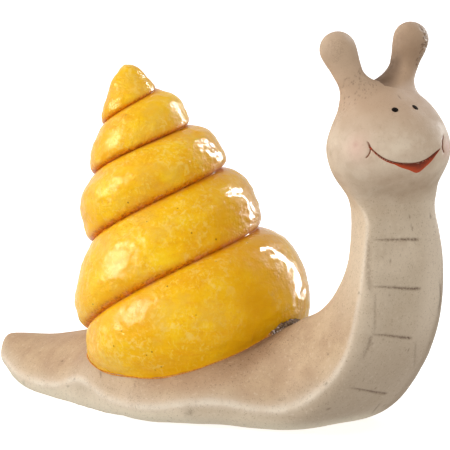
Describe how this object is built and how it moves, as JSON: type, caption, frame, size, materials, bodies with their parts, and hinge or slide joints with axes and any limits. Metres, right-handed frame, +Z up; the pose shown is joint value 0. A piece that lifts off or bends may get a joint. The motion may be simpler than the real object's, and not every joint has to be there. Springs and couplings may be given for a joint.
{
  "type": "snail figurine",
  "caption": "Free-standing earthenware garden snail ornament with raised neck, smiling face, bulb-ended tentacles and a tall glazed spiral shell cemented on its back.",
  "frame": {"origin": "on the flat sole, under the middle of the shell", "axes": "+X from tail to head along the foot, +Y to the snail's left, +Z up"},
  "size_m": [0.3356, 0.1391, 0.2415],
  "materials": {
    "washed_clay": "matte earthenware with a brown-grey wash",
    "yellow_glaze": "glossy brushed glaze, browner in the grooves",
    "cement": "rough grey",
    "black_enamel": "glossy",
    "orange_red_enamel": "satin"
  },
  "bodies": {
    "root": {"body_casting": "washed_clay", "right_tentacle": "washed_clay", "left_tentacle": "washed_clay", "shell_casting": "yellow_glaze", "shell_cement": "cement", "right_eye": "black_enamel", "left_eye": "black_enamel", "mouth_enamel": "orange_red_enamel"}
  },
  "joints": []
}
